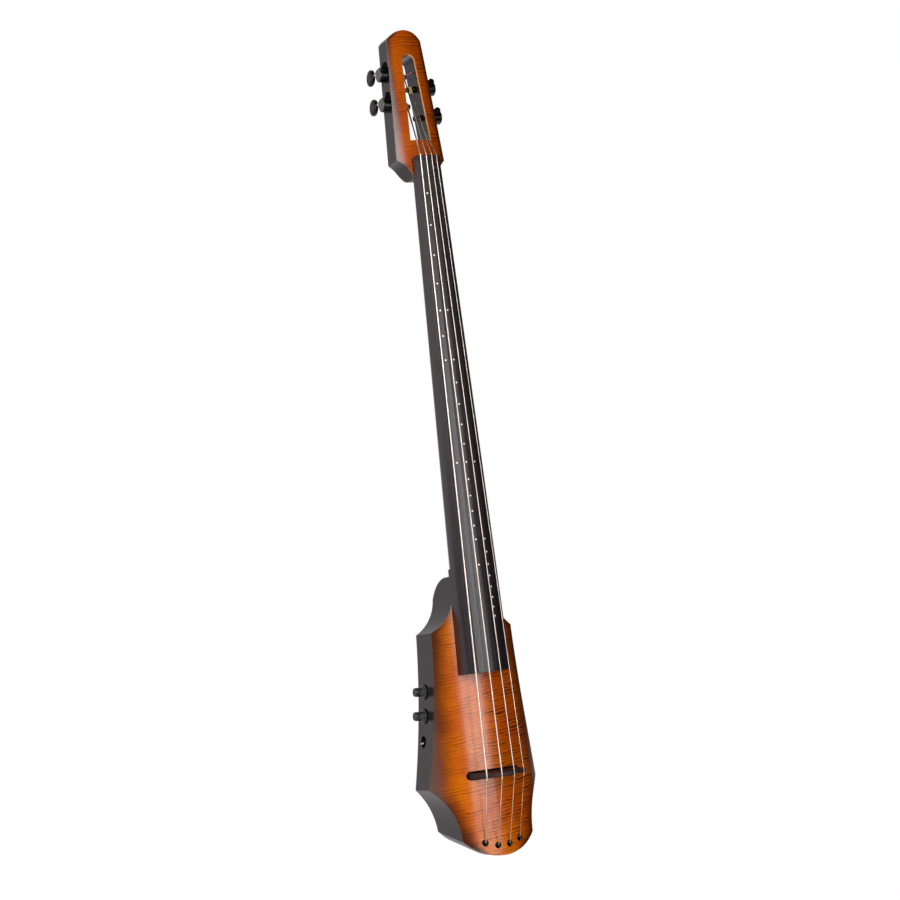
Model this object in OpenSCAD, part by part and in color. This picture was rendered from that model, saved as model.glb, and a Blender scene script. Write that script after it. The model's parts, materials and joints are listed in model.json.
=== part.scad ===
// Solid-body electric upright double bass with a slotted head, four worm tuners,
// two control knobs, a recessed selector switch and a blank back for a stand.
// Units are millimetres. +Z runs along the neck toward the head, the strings face -Y,
// +X is the treble side. Origin: mouth of the stand bolt hole in the back of the body.
// Inside in_frame() the numbers are taken from the string line instead:
// Z = 0 at the bridge crest, Y = 0 on the centre line of the fingerboard.

/* [Scale] */
// vibrating string length, bridge crest to nut
scale_len = 1060; // [1040:1:1080]
// string spacing at the nut
nut_gap = 10.1; // [9.5:0.1:11]
// string spacing at the bridge
bridge_gap = 23.3; // [22:0.1:24.5]
// height of the bridge crest over the fingerboard line
crest_rise = 14.9; // [12:0.1:18]
// crest radius of the bridge
crest_r = 58.5; // [55:0.5:70]

/* [Fingerboard] */
// width of the fingerboard at the nut
board_nut_w = 45.6; // [43:0.1:48]
// width of the fingerboard at its body end
board_end_w = 88.6; // [84:0.1:92]
// height of the body end of the fingerboard above the bridge crest
board_end_z = 172.5; // [160:0.5:180]
// radius of the playing surface
board_r = 63; // [60:0.5:75]
// diameter of the position dots
dot_d = 3; // [2.5:0.1:4]

/* [Body] */
// radius of the arched front of the body
arch_r = 126; // [122:0.5:132]
// depth of the arch crown behind the fingerboard line
arch_y = 34.5; // [33:0.5:36]
// thickness of the figured top plate
top_t = 5; // [4:0.5:6]
// body width at the upper corners
upper_w = 153; // [148:1:158]
// body width at the lower corners
lower_w = 206; // [200:1:212]
// depth of the flat back behind the fingerboard line, at the bridge
back_y0 = 141; // [138:0.5:146]
// lean of the back toward the neck, degrees
back_lean = 4.3; // [3.5:0.1:5]
// height of the stand bolt above the bridge crest
stand_z = 40; // [30:1:60]

/* [Head] */
// lean of the head front, degrees
head_lean = 5.05; // [4:0.05:6]
// radius of the arched head front
head_r = 70; // [68:0.5:76]
// thickness of the head plate
head_t = 4; // [3:0.5:5]
// head width at the lower corners
head_low_w = 91.8; // [88:0.2:94]
// head width at the upper corners
head_top_w = 66; // [64:0.2:68]

/* [Tuners] */
// diameter of the string posts
post_dia = 8; // [7:0.1:9]
// centre distance of worm and gear
worm_gap = 10; // [9.8:0.05:10.2]
// distance from post axis to the centre of the key
key_reach = 48; // [44:1:52]
// width of the key across the shaft
key_w = 30; // [26:0.5:31]

/* [Controls] */
// skirt diameter of the control knobs
skirt_d = 27; // [25:0.5:28]
// grip diameter of the control knobs
grip_d = 15.5; // [14:0.5:17]
// diameter of the selector switch recess
recess_d = 21; // [19:0.5:23]

/* [Stand mount] */
// thread diameter of the stand bolt
stand_m = 10; // [8:1:12]

/* [Hidden] */
$fn = 96;
nut_z = scale_len;
nut_t = 8;
wood_black = [0.07, 0.07, 0.075];
amber = [0.72, 0.34, 0.08];
ebony = [0.09, 0.08, 0.085];
steel = [0.75, 0.75, 0.77];
dark_metal = [0.10, 0.10, 0.11];
brass = [0.78, 0.6, 0.3];
origin_y = back_y0 - stand_z * tan(back_lean);
// body outline: radius of the side, corner heights, round tail, half width of the heel
side_r = 1690;
upper_z = 249;
lower_z = -14;
tail_r = 88;
tail_z = -47.5;
tail_half = 66.7;
tail_corner_z = -104.9;
tail_lean = 9.4;
heel_z = 340.5;
heel_half = 39;
heel_foot_z = 310;
// centre and radius of the rounded back of the heel
shoulder_y = 55;
shoulder_z = 265.8;
shoulder_r = 75;
// lower end of the neck pocket, and its depth
pocket_z = board_end_z + 1.9;
pocket_y = 65;
// heights of the corners of the head
head_top_z = 1288;
head_low_z = 1067.5;
// glue line of the fingerboard and taper of the neck
glue_drop = 13.5;
glue_lean = atan(glue_drop / (nut_z - board_end_z));
neck_lean = atan(7.8 / 715);
wall_tilt = 3.35;
string_dia = [2.7, 2.1, 1.6, 1.25];
tail_x = [-32.5, -10.9, 10.9, 32.5];
tail_hole_z = [-111, -117.3, -117.3, -111];
// tuners: height of each post, its side of the head, and where its string winds on
post_z = [1172, 1227.5, 1203.5, 1150];
post_side = [-1, -1, 1, 1];
post_deep = 26;
coil_x = [-8, -5, 5, 10];
// distance of a tuner's worm and gear from the side of the head
worm_x = 7;
// key: depth over width, and radius of its two domed faces
key_oval = 0.94;
key_dome = 70;
// screws of a tuner, as [back, up] from the post axis
ear_at = [2, 20.5];
gear_teeth = 20;
gear_pitch_r = 6;
pitch = 2 * PI * gear_pitch_r / gear_teeth;
// slot that holds the foot of the bridge
slot_z = 2.5;
slot_half = 50;
slot_w = 15;
slot_floor = 62;
// controls, as [depth, height]
volume_at = [105, 151];
tone_at = [108, 110];
switch_at = [113, 67];
jack_at = [108, 95];
lever_rest = 12;
// screws of the cavity lid, as [across, up the back]
cover_at = [[-71, 181.5], [-34, 181.5], [-34, 112], [-34, 43], [-79, 43], [-79, 84]];
// ends of the pickup lead's straight run
lead_a = [-34, 60, 2.5];
lead_b = [-52, 95, 58];
// semitones of the position dots between the strings, from the low pair to the high pair
gap_low = [1, 2, 3, 4, 5, 6, 7, 12];
gap_mid = [5, 7, 8, 9, 10, 11, 12, 13, 14, 15, 16, 17, 19];
gap_high = [12, 17, 18, 19, 20, 21, 22, 23, 24];

function board_w(z) =
    board_nut_w / 2 + (board_end_w - board_nut_w) / 2 * (nut_z - z) / (nut_z - board_end_z);
function sag(x, r) = r - sqrt(r * r - x * x);
function back_y(z) = back_y0 - z * tan(back_lean);
function head_y(z) = 16.2 + (z - 1060) * tan(head_lean);
function head_w(z) =
    head_top_w / 2 + (head_low_w - head_top_w) / 2 * (head_top_z - z) / (head_top_z - head_low_z);
function post_y(z) = head_y(z) + post_deep;
function nut_x(i) = (i - 1.5) * nut_gap;
function bridge_x(i) = (i - 1.5) * bridge_gap;
function tail_y(i) = arch_y + sag(tail_x[i], arch_r);
function coil_r(i) = post_dia / 2 + 0.05 + string_dia[i];

module in_frame() {
    translate([0, -origin_y, -stand_z]) children();
}

// turns a drawing in the XZ plane into a solid from y0 to y1
module slab(y0, y1) {
    translate([0, y1, 0]) rotate([90, 0, 0]) linear_extrude(y1 - y0) children();
}

// a frame whose y = 0 plane is the flat back and whose z runs up along it
module back_frame() {
    translate([0, back_y0, 0]) rotate([back_lean, 0, 0]) children();
}

// circle of radius r through p and q, with its centre to the left of p to q when s is 1
module scoop(p, q, r, s) {
    d = q - p;
    l = norm(d);
    h = sqrt(r * r - l * l / 4);
    translate((p + q) / 2 + s * h / l * [-d[1], d[0]]) circle(r = r, $fn = 180);
}

function scoop_radius(dx, dz) = (dx * dx + dz * dz) / (2 * dx);

// half width of the body between its corners, and the lean of its side there
side_mid = [(upper_w + lower_w) / 4, (upper_z + lower_z) / 2];
side_d = [(lower_w - upper_w) / 2, lower_z - upper_z];
side_h = sqrt(side_r * side_r - norm(side_d) * norm(side_d) / 4);
side_c = side_mid + side_h / norm(side_d) * [-side_d[1], side_d[0]];
function side_x(z) = side_c[0] - sqrt(side_r * side_r - (z - side_c[1]) * (z - side_c[1]));
function side_lean(z) = asin((side_c[1] - z) / side_r);

module half_body_cuts(s) {
    foot = [s * heel_half, heel_foot_z];
    upper = [s * upper_w / 2, upper_z];
    lower = [s * lower_w / 2, lower_z];
    tail = [s * tail_half, tail_corner_z];
    scoop(foot, upper, scoop_radius(upper_w / 2 - heel_half, heel_foot_z - upper_z), s);
    scoop(upper, lower, side_r, s);
    scoop(lower, tail, scoop_radius(lower_w / 2 - tail_half, lower_z - tail_corner_z), s);
}

// everything below the tail corners that lies outside the round tail edge
module below_tail() {
    difference() {
        translate([-210, -300]) square([420, 300 + tail_corner_z]);
        translate([0, tail_z]) circle(r = tail_r, $fn = 180);
    }
}

module body_outline() {
    difference() {
        polygon([[-heel_half, heel_z], [heel_half, heel_z], [heel_half, heel_foot_z],
            [upper_w / 2, upper_z], [lower_w / 2, lower_z], [tail_half, tail_corner_z],
            [tail_half, -140], [-tail_half, -140], [-tail_half, tail_corner_z],
            [-lower_w / 2, lower_z], [-upper_w / 2, upper_z], [-heel_half, heel_foot_z]]);
        half_body_cuts(1);
        half_body_cuts(-1);
        below_tail();
    }
}

// round front of the body, as a cylinder along the strings
module arch(r) {
    translate([0, arch_y + arch_r, -200]) cylinder(r = r, h = 700, $fn = 240);
}

module bridge_slot() {
    slab(-20, slot_floor) {
        translate([-slot_half + slot_w / 2, slot_z - slot_w / 2]) square([2 * slot_half - slot_w, slot_w]);
        for (s = [-1, 1]) translate([s * (slot_half - slot_w / 2), slot_z]) circle(d = slot_w);
    }
}

// places children on the bass side of the body: local x points out of the side
module bass_side(y, z) {
    translate([-side_x(z), y, z]) rotate([0, side_lean(z), 0]) mirror([1, 0, 0]) children();
}

module treble_side(y, z) {
    translate([side_x(z), y, z]) rotate([0, -side_lean(z), 0]) children();
}

// places children at a tail hole: local z points out of the front along the string hole
module tail_hole(i) {
    translate([tail_x[i], tail_y(i), tail_hole_z[i]]) rotate([90 + tail_lean, 0, 0]) children();
}

// cylinder from x0 to x1 along x
module bar_x(x0, x1, r) {
    translate([x0, 0, 0]) rotate([0, 90, 0]) cylinder(r = r, h = x1 - x0);
}

// cylinder from y0 to y1 along y
module bar_y(y0, y1, r) {
    translate([0, y0, 0]) rotate([-90, 0, 0]) cylinder(r = r, h = y1 - y0);
}

module cavity_shape() {
    polygon([[-70, 178], [-74, 120], [-76.5, 90], [-71.5, 86], [-71.5, 47], [-38, 47], [-38, 178]]);
}

module body_core() {
    color(wood_black) in_frame() difference() {
        intersection() {
            slab(20, 220) body_outline();
            union() {
                arch(arch_r - top_t - 0.1);
                intersection() {
                    arch(arch_r);
                    translate([-60, 0, 305.1]) cube([120, 200, 60]);
                }
            }
            back_frame() translate([-200, -400, -300]) cube([400, 400, 800]);
        }
        // tail end, leaning back
        translate([0, 58, tail_corner_z]) rotate([tail_lean, 0, 0]) translate([0, -58, -tail_corner_z])
            slab(-20, 200) below_tail();
        // rounded shoulder of the heel
        difference() {
            translate([-60, shoulder_y, shoulder_z]) cube([120, 120, 100]);
            translate([0, shoulder_y, shoulder_z]) bar_x(-61, 61, shoulder_r);
        }
        translate([-30, -20, pocket_z]) cube([60, 20 + pocket_y, 240]);
        bridge_slot();
        // control cavity, its lid step and the tapered pocket of the switch
        back_frame() slab(-2.7, 20) lid_shape(0.15);
        slab(88, 220) cavity_shape();
        for (p = cover_at) back_frame() translate([p[0], 0, p[1]]) bar_y(-16, 0, 1.6);
        for (p = [volume_at, tone_at]) bass_side(p[0], p[1]) {
            bar_x(-30, -5, 13);
            bar_x(-6, 1, 5);
        }
        bass_side(switch_at[0], switch_at[1]) {
            bar_x(-12, 12, recess_d / 2);
            bar_x(-22, -11, 3.3);
        }
        treble_side(jack_at[0], jack_at[1]) {
            bar_x(-2, 5, 14.2);
            bar_x(-46, 1, 9.6);
        }
        translate([-39, jack_at[0], 95]) bar_x(-1, 85, 3);
        // lead hole from the bridge slot to the cavity
        lead_path(2.2);
        back_frame() translate([0, 0, stand_z / cos(back_lean)]) {
            bar_y(-2.1, 5, 13.1);
            bar_y(-26.1, 0, 8.6);
        }
        for (i = [0:3]) tail_hole(i) {
            translate([0, 0, -160]) cylinder(r = 2.4, h = 170);
            translate([0, 0, -10.1]) cylinder(r = 5.6, h = 20);
            translate([0, 0, -160]) cylinder(r = 6.1, h = 160 - cup_depth(i));
        }
    }
}

// distance along the string hole from the front to the floor of its cup in the back
function cup_depth(i) = back_y(tail_hole_z[i]) - tail_y(i) - 16.5;

// straight hole from the bridge slot to the control cavity
module lead_path(r) {
    d = lead_b - lead_a;
    l = norm(d);
    translate(lead_a) rotate([0, acos(d[2] / l), atan2(d[1], d[0])]) cylinder(r = r, h = l);
}

// outline of the cavity lid, grown by g
module lid_shape(g) {
    polygon([[-75 - g, 186 + g], [-79 - g, 120], [-83.5 - g, 80], [-84 - g, 38 - g],
        [-29 + g, 38 - g], [-29 + g, 186 + g]]);
}

module body_top() {
    color(amber) in_frame() difference() {
        intersection() {
            slab(20, 120) intersection() {
                body_outline();
                translate([-200, -200]) square([400, 505]);
            }
            arch(arch_r);
        }
        arch(arch_r - top_t);
        translate([-30, -20, pocket_z]) cube([60, 20 + pocket_y, 240]);
        bridge_slot();
        for (i = [0:3]) tail_hole(i) translate([0, 0, -12]) cylinder(r = 5.6, h = 24);
    }
}

// keeps what lies behind the underside of the fingerboard
module behind_glue() {
    translate([0, glue_drop, nut_z]) rotate([glue_lean, 0, 0])
        translate([-150, 0, -1000]) cube([300, 300, 1400]);
}

module board_shape(z0, z1, trim) {
    a = board_w(z0) - trim;
    b = board_w(z1) - trim;
    polygon([[-a, z0], [a, z0], [b, z1], [-b, z1]]);
}

module fingerboard() {
    color(ebony) in_frame() difference() {
        intersection() {
            slab(-5, 60) board_shape(board_end_z, nut_z, 0);
            translate([0, board_r, 0]) cylinder(r = board_r, h = 1100, $fn = 240);
        }
        translate([0, -0.05, 0]) behind_glue();
        dots(dot_d / 2 + 0.02, 1.6, 6);
    }
}

function dot_z(n) = scale_len * pow(2, -n / 12);
function dot_x(g, n) = g * (nut_gap + (bridge_gap - nut_gap) * (1 - dot_z(n) / scale_len));

module dot(g, n, r, deep, over) {
    x = dot_x(g, n);
    y = sag(x, board_r);
    translate([x, 0, dot_z(n)]) bar_y(y - over, y + deep, r);
}

module dots(r, deep, over) {
    for (n = gap_low) dot(-1, n, r, deep, over);
    for (n = gap_mid) dot(0, n, r, deep, over);
    for (n = gap_high) dot(1, n, r, deep, over);
}

module position_dots() {
    color([0.93, 0.93, 0.9]) in_frame() intersection() {
        dots(dot_d / 2, 1.5, 5);
        translate([0, board_r, 0]) cylinder(r = board_r, h = 1100, $fn = 240);
    }
}

module nut() {
    color(ebony) in_frame() difference() {
        intersection() {
            slab(-5, 13.3) board_shape(nut_z, nut_z + nut_t, 0.4);
            translate([0, board_r, 0]) cylinder(r = board_r + 2, h = 1100, $fn = 240);
        }
        for (i = [0:3]) translate(nut_p(i) - [0, 0.05, 30]) cylinder(r = string_dia[i] / 2 + 0.2, h = 40);
    }
}

module head_outline() {
    difference() {
        polygon([[-head_top_w / 2, 1320], [head_top_w / 2, 1320], [head_top_w / 2, head_top_z],
            [head_low_w / 2, head_low_z], [23.3, 1032], [-23.3, 1032], [-head_low_w / 2, head_low_z],
            [-head_top_w / 2, head_top_z]]);
        for (s = [-1, 1]) scoop([s * 23.3, head_low_z - 42.5], [s * head_low_w / 2, head_low_z],
            scoop_radius(head_low_w / 2 - 23.3, 42.5), -s);
        difference() {
            translate([-60, head_top_z]) square([120, 60]);
            translate([0, head_top_z - 22.6]) circle(r = norm([head_top_w / 2, 22.6]), $fn = 180);
        }
    }
}

module head_slot() {
    slab(-20, 140) {
        polygon([[-12.2, 1247.6], [12.2, 1247.6], [19.7, 1101], [-19.7, 1101]]);
        translate([0, 1247.4]) circle(r = 12.2);
    }
}

module head_arch(r) {
    translate([0, 16.2, 1060]) rotate([-head_lean, 0, 0])
        translate([0, head_r, -80]) cylinder(r = r, h = 400, $fn = 240);
}

// places children at a tuner: local x points out of the side of the head, local y back
module tuner(i) {
    z = post_z[i];
    s = post_side[i];
    translate([s * head_w(z), post_y(z), z]) rotate([0, -s * wall_tilt, 0])
        if (s < 0) mirror([1, 0, 0]) children();
        else children();
}

// rounded back of the neck between the heel and the head
module neck_shaft() {
    intersection() {
        slab(0, 120) board_shape(heel_z, 1045, 0.3);
        translate([0, 25.6, heel_z]) rotate([neck_lean, 0, 0]) cylinder(r1 = 40, r2 = 23.1, h = 716);
        behind_glue();
    }
}

// black part of the head, behind its figured plate
module head_core() {
    difference() {
        intersection() {
            slab(0, 120) head_outline();
            union() {
                head_arch(head_r - head_t - 0.1);
                intersection() {
                    behind_glue();
                    slab(0, 60) board_shape(1020, nut_z + nut_t, 0.5);
                }
            }
            translate([0, 70.9, 1072]) rotate([-2.27, 0, 0])
                translate([-100, -200, -200]) cube([200, 200, 600]);
        }
        difference() {
            translate([-60, 44, 1000]) cube([120, 60, 59]);
            translate([0, 44, 1059]) bar_x(-61, 61, 27);
        }
        head_slot();
        for (i = [0:3]) tuner(i) {
            bar_x(-36, 1, 4.7);
            translate([0, ear_at[0], ear_at[1]]) bar_x(-13, 1, 1.5);
        }
    }
}

// part of the neck under the fingerboard, flaring into the heel and down into the body
module neck_tongue() {
    difference() {
        intersection() {
            slab(0, 60) board_shape(board_end_z, heel_z + 12, 0.5);
            behind_glue();
        }
        arch(arch_r + 0.1);
        translate([0, 58.5, heel_z + 12.4]) bar_x(-60, 60, 12.4);
    }
    translate([-29.9, 30, pocket_z + 0.1]) cube([59.8, pocket_y - 30.1, heel_z - pocket_z - 0.1]);
}

module neck() {
    color(wood_black) in_frame() difference() {
        union() {
            neck_shaft();
            head_core();
            neck_tongue();
        }
        // channel of the truss rod
        translate([0, glue_drop, nut_z]) rotate([glue_lean, 0, 0]) translate([-3.1, -2, -860])
            cube([6.2, 11.2, 846]);
    }
}

module truss_rod() {
    color(steel) in_frame() translate([0, glue_drop, nut_z]) rotate([glue_lean, 0, 0]) {
        translate([-3, 0.3, -858]) cube([6, 8.8, 830]);
        translate([0, 4.7, -28.1]) cylinder(r = 3, h = 12);
    }
}

module head_plate() {
    color(amber) in_frame() difference() {
        intersection() {
            slab(0, 100) head_outline();
            head_arch(head_r);
        }
        head_arch(head_r - head_t);
        head_slot();
        slab(-20, 60) board_shape(1020, nut_z + nut_t, -0.15);
    }
}

function nut_p(i) = [nut_x(i), sag(nut_x(i), board_r) - 1.5, nut_z + nut_t + 1.8];
function bridge_p(i) = [bridge_x(i), sag(bridge_x(i), crest_r) - crest_rise, 0];
function tail_p(i) = [tail_x[i], tail_y(i) - 1.7, tail_hole_z[i] + 0.3];
function coil_y(i) = post_y(post_z[i]) - coil_r(i) - 0.4 - string_dia[i] / 2;
function post_p(i) = [coil_x[i], coil_y(i), post_z[i]];
function hole_p(i) = tail_p(i) + (cup_depth(i) + 6) * [0, cos(tail_lean), sin(tail_lean)];

// straight round rod from p to q, short of each end by a
module rod(p, q, d, a = 0) {
    v = q - p;
    l = norm(v);
    translate(p) rotate([0, acos(v[2] / l), atan2(v[1], v[0])])
        translate([0, 0, a]) cylinder(d = d, h = l - 2 * a);
}

// one string along its whole route, from its ball in the back to its post
module string_run(i) {
    d = string_dia[i];
    rod(hole_p(i), tail_p(i), d, 0.85);
    translate(tail_p(i)) sphere(r = d / 2 + 0.6);
    rod(tail_p(i), bridge_p(i), d, 0.4);
    translate(bridge_p(i)) sphere(r = d / 2 + 0.2);
    rod(bridge_p(i), nut_p(i), d, 0.4);
    translate(nut_p(i)) sphere(r = d / 2 + 0.2);
    rod(nut_p(i), post_p(i), d, 0.4);
    tail_hole(i) translate([0, 0, -cup_depth(i) - 9]) cylinder(d = 5.4, h = 6);
}

module string_e() {
    color(steel) in_frame() string_run(0);
}

module string_a() {
    color(steel) in_frame() string_run(1);
}

module string_d() {
    color(steel) in_frame() string_run(2);
}

module string_g() {
    color(steel) in_frame() string_run(3);
}

module bridge() {
    color(ebony) in_frame() difference() {
        intersection() {
            translate([0, 0, -10]) linear_extrude(30)
                polygon([[-41.5, -20], [41.5, -20], [41.5, 4], [46.5, 57.9], [-46.5, 57.9], [-41.5, 4]]);
            translate([0, crest_r - crest_rise, -10]) cylinder(r = crest_r, h = 30, $fn = 240);
            translate([-60, 0, 0]) rotate([90, 0, 90]) linear_extrude(120)
                polygon([[-20, -0.6], [-20, 3.4], [58, 8.3], [58, -3.3]]);
        }
        for (i = [0:3]) translate(bridge_p(i) - [0, 0, 4]) cylinder(r = string_dia[i] / 2 + 0.26, h = 12);
    }
}

module bridge_pickup() {
    color(dark_metal) in_frame() difference() {
        translate([-43, 58, slot_z - 4.5]) cube([86, 3.9, 9]);
        lead_path(1.9);
    }
}

module pickup_lead() {
    color([0.15, 0.15, 0.16]) in_frame() {
        rod(lead_a, lead_b, 2.4, 0.4);
        translate(lead_b) sphere(d = 2.8);
        rod(lead_b, [-52, 95, 92], 2.4, 0.4);
    }
}

module string_ferrules() {
    color(dark_metal) in_frame() for (i = [0:3]) tail_hole(i) difference() {
        translate([0, 0, -10]) cylinder(r = 5.5, h = 10.6);
        translate([0, 0, -11]) cylinder(r = 2.1, h = 20);
        translate([0, 0, -0.9]) cylinder(r1 = 2.1, r2 = 3.8, h = 1.8);
    }
}

module string_anchors() {
    color(steel) in_frame() for (i = [0:3]) tail_hole(i)
        translate([0, 0, -cup_depth(i) - 12.5]) difference() {
            cylinder(r = 6, h = 12.4);
            translate([0, 0, -1]) cylinder(r = 3.4, h = 10.6);
            cylinder(r = 2.1, h = 20);
        }
}

// body of a control pot: its bushing fills the hole in the side, its shaft turns in it
module pot() {
    color(dark_metal) difference() {
        union() {
            bar_x(-15, -5.1, 12);
            bar_x(-6, -0.2, 4.7);
            translate([-14, -5, -16]) cube([1.6, 10, 6]);
        }
        bar_x(-16, 1, 3.06);
    }
}

module pot_shaft() {
    color(steel) difference() {
        bar_x(-14.5, 14, 3);
        translate([5, -0.5, -4]) cube([10, 1, 8]);
    }
}

// knob with a thin skirt, a plain grip and a pointer groove
module knob() {
    color(dark_metal) difference() {
        union() {
            bar_x(0.8, 3.2, skirt_d / 2);
            bar_x(3.1, 17.5, grip_d / 2);
            translate([17.4, 0, 0]) rotate([0, 90, 0])
                cylinder(r1 = grip_d / 2, r2 = grip_d / 2 - 1.6, h = 1.8);
        }
        bar_x(-1, 14.5, 3.03);
        translate([6, grip_d / 2 - 0.7, -0.5]) cube([14, 2, 1]);
        for (a = [15:15:345]) rotate([a, 0, 0]) translate([5, grip_d / 2 - 0.3, -0.4]) cube([10.5, 2, 0.8]);
    }
}

module volume_pot() {
    in_frame() bass_side(volume_at[0], volume_at[1]) pot();
}

module tone_pot() {
    in_frame() bass_side(tone_at[0], tone_at[1]) pot();
}

module volume_shaft() {
    in_frame() bass_side(volume_at[0], volume_at[1]) pot_shaft();
}

module tone_shaft() {
    in_frame() bass_side(tone_at[0], tone_at[1]) pot_shaft();
}

module volume_knob() {
    in_frame() bass_side(volume_at[0], volume_at[1]) knob();
}

module tone_knob() {
    in_frame() bass_side(tone_at[0], tone_at[1]) knob();
}

// small bat switch in the floor of its round recess
module mode_switch() {
    color(steel) in_frame() bass_side(switch_at[0], switch_at[1]) difference() {
        union() {
            translate([-31, -6.3, -4]) cube([11, 12.6, 8]);
            bar_x(-20.1, -8, 3.2);
            translate([-11.95, 0, 0]) rotate([0, 90, 0]) cylinder(r = 5, h = 2, $fn = 6);
            for (v = [-4, 0, 4]) translate([-35, v - 0.8, -1]) cube([4.1, 1.6, 2]);
        }
        bar_x(-14, -9, 2.06);
        translate([-11, 0, 0]) bar_y(-2.8, 2.8, 0.8);
        translate([-9.01, 0, 0]) rotate([0, 90, 0]) cylinder(r1 = 2.06, r2 = 2.9, h = 1.2);
    }
}

module switch_lever() {
    color([0.85, 0.85, 0.86]) in_frame() bass_side(switch_at[0], switch_at[1])
        translate([-11, 0, 0]) rotate([0, lever_rest, 0]) {
            sphere(r = 2);
            bar_y(-2.7, 2.7, 0.7);
            rotate([0, 90, 0]) cylinder(r1 = 1.0, r2 = 1.7, h = 14.5);
            translate([14.5, 0, 0]) sphere(r = 1.7);
        }
}

module output_jack() {
    color(dark_metal) in_frame() treble_side(jack_at[0], jack_at[1]) difference() {
        union() {
            bar_x(-1.9, 0.3, 14);
            bar_x(-40, -1, 9.3);
            bar_x(-44, -39.9, 2.5);
        }
        bar_x(-36, 2, 3.25);
        for (s = [-1, 1]) translate([0, s * 11.3, 0]) bar_x(-3, 2, 0.9);
    }
}

module circuit_board() {
    color([0.05, 0.25, 0.12]) in_frame() {
        translate([-62, 92, 100]) cube([22, 1.6, 70]);
        for (x = [-59, -43]) for (z = [104, 166]) translate([x, 0, z]) bar_y(88.05, 92.1, 1.8);
        translate([-55, 93.5, 120]) cube([8, 2.2, 10]);
        for (z = [138, 148, 158]) translate([-52, 0, z]) bar_y(93.5, 101, 2.6);
        for (z = [112, 116, 134]) translate([-58, 93.5, z]) cube([6, 1.5, 2]);
    }
}

module cavity_cover() {
    color(wood_black) in_frame() back_frame() difference() {
        slab(-2.6, -0.1) lid_shape(-0.15);
        for (p = cover_at) translate([p[0], 0, p[1]]) {
            bar_y(-4, 1, 1.7);
            translate([0, -1.9, 0]) rotate([-90, 0, 0]) cylinder(r1 = 1.7, r2 = 3.3, h = 1.9);
        }
    }
}

module cover_screws() {
    color(steel) in_frame() back_frame() for (p = cover_at) translate([p[0], 0, p[1]]) difference() {
        union() {
            bar_y(-14, -1.7, 1.4);
            translate([0, -1.8, 0]) rotate([-90, 0, 0]) cylinder(r1 = 1.4, r2 = 2.95, h = 1.6);
        }
        translate([-2, -0.7, -0.3]) cube([4, 1, 0.6]);
        translate([-0.3, -0.7, -2]) cube([0.6, 1, 4]);
    }
}

// threaded insert that takes the bolt of a stand
module stand_socket() {
    color(brass) in_frame() back_frame() translate([0, 0, stand_z / cos(back_lean)])
        difference() {
            union() {
                bar_y(-2, 0, 13);
                bar_y(-25, -1, 8.5);
            }
            bar_y(-23, 1, stand_m / 2 - 0.75);
        }
}

// tuner housing: a drum for the gear, a barrel for the worm and a screw ear
module housing() {
    color(dark_metal) difference() {
        union() {
            bar_x(0, 12.5, 12.6);
            translate([0, -6, 0]) cube([9, 12, 14]);
            translate([worm_x, 0, worm_gap]) bar_y(-12.5, 13, 5.45);
            translate([worm_x, 0, worm_gap]) bar_y(12, 17.5, 4.3);
            translate([0, ear_at[0] - 5.2, 8]) cube([3, 10.4, ear_at[1] - 8]);
            translate([0, ear_at[0], ear_at[1]]) bar_x(0, 3, 5.2);
        }
        bar_x(3, 14, 7.6);
        bar_x(-1, 4, post_dia / 2 + 0.06);
        translate([worm_x, 0, worm_gap]) {
            bar_y(-8.5, 8.5, 4.8);
            bar_y(-11, -8, 2.06);
            bar_y(8, 20, 2.56);
        }
        translate([0, ear_at[0], ear_at[1]]) bar_x(-1, 4, 1.65);
    }
}

module cap() {
    color([0.3, 0.3, 0.31]) difference() {
        union() {
            bar_x(12.6, 14.2, 11);
            bar_x(11.2, 12.7, 7.5);
        }
        bar_x(10, 12.9, 2.56);
        translate([13.7, -3.5, -0.5]) cube([1, 7, 1]);
    }
}

// worm on its shaft, right-handed, in mesh with the gear at rest
module worm() {
    color(steel) translate([worm_x, 0, worm_gap]) {
        bar_y(-8, 8, 3.3);
        bar_y(-10.7, -7.9, 2);
        bar_y(7.9, 45, 2.5);
        thread();
    }
}

// one-start thread with flat flanks, 12 steps to a turn
module thread() {
    n = 64;
    a0 = -n / 2 * 30;
    pts = [for (k = [0:n]) for (c = [[3.1, -0.50], [4.5, -0.24], [4.5, 0.24], [3.1, 0.50]])
        let (a = a0 + k * 30) [-c[0] * sin(a), pitch * a / 360 + c[1], -c[0] * cos(a)]];
    sides = [for (k = [0:n - 1]) for (j = [0:3]) for (t = [0, 1])
        let (p = 4 * k + j, q = 4 * k + (j + 1) % 4) t == 0 ? [p, q, q + 4] : [p, q + 4, p + 4]];
    ends = [[3, 2, 1, 0], [4 * n, 4 * n + 1, 4 * n + 2, 4 * n + 3]];
    polyhedron(points = pts, faces = concat(ends, sides));
}

module gear() {
    color(brass) translate([worm_x - 2.2, 0, 0]) rotate([90, 0, 90]) linear_extrude(4.4) difference() {
        union() {
            circle(r = 5.3);
            for (k = [0:gear_teeth - 1]) rotate([0, 0, (k + 0.5) * 360 / gear_teeth])
                polygon([[5.0, -0.50], [6.5, -0.24], [6.5, 0.24], [5.0, 0.50]]);
        }
        circle(r = 3.03);
    }
}

// string post from the cap, through the gear and the side of the head, into the slot
module post(i) {
    tip = head_w(post_z[i]) - abs(coil_x[i]) + 2 * string_dia[i] + 1;
    color(steel) difference() {
        union() {
            bar_x(9.6, 12.4, 2.5);
            bar_x(3.2, 9.7, 3);
            bar_x(-tip, 3.3, post_dia / 2);
            bar_x(-tip - 1.8, -tip + 0.1, post_dia / 2 + 0.6);
        }
        translate([-tip + 1.6, 0, -10]) cylinder(r = 0.8, h = 20);
    }
}

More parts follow.
